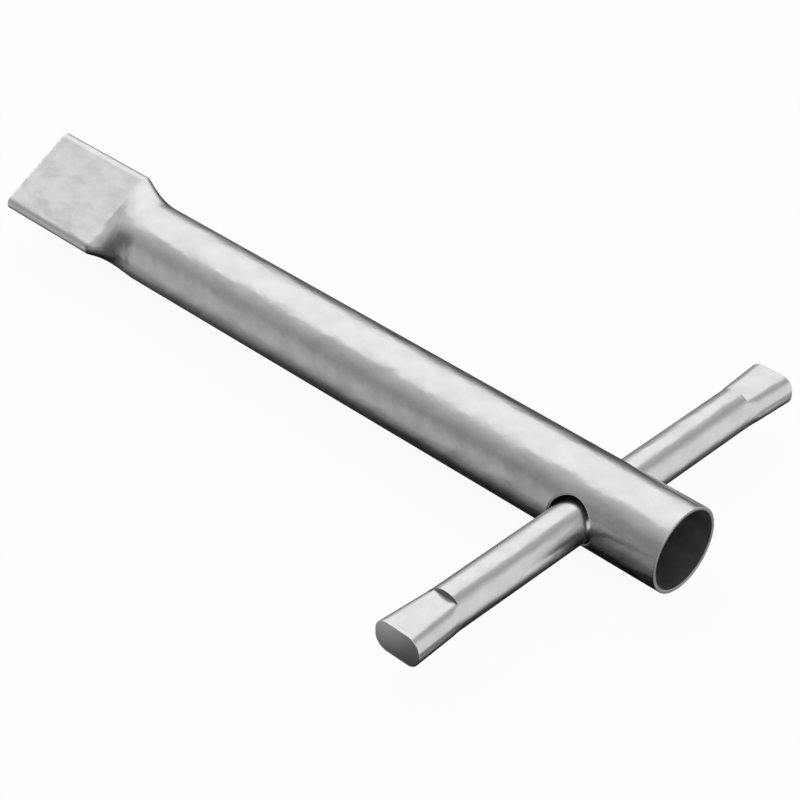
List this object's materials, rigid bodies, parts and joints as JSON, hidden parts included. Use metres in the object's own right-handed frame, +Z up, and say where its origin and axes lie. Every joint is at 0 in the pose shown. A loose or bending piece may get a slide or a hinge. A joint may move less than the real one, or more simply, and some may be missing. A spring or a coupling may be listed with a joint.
{
  "type": "triangle key",
  "caption": "Steel tube key with a triangular socket at one end, turned by a sliding cross bar with flattened ends through a hole near the other.",
  "frame": {"origin": "middle of the triangular socket's mouth, on the tube's axis", "axes": "+X along the tube's axis from the socket to the open end, +Y along the tommy bar and square to one flat of the socket, +Z up as the key lies with its bar level"},
  "size_m": [0.245, 0.146, 0.0294],
  "materials": {
    "tube_zinc": "satin zinc plate with soft cloudy mottling",
    "bar_zinc": "satin zinc plate, brighter on the pressed flats"
  },
  "bodies": {
    "tube": {"key_tube": "tube_zinc"},
    "bar": {"tommy_bar": "bar_zinc"}
  },
  "joints": [
    {"name": "bar_slide", "type": "slide", "parent": "tube", "child": "bar", "axis": [0, 1, 0], "range_m": [-0.0515, 0.0525]}
  ]
}
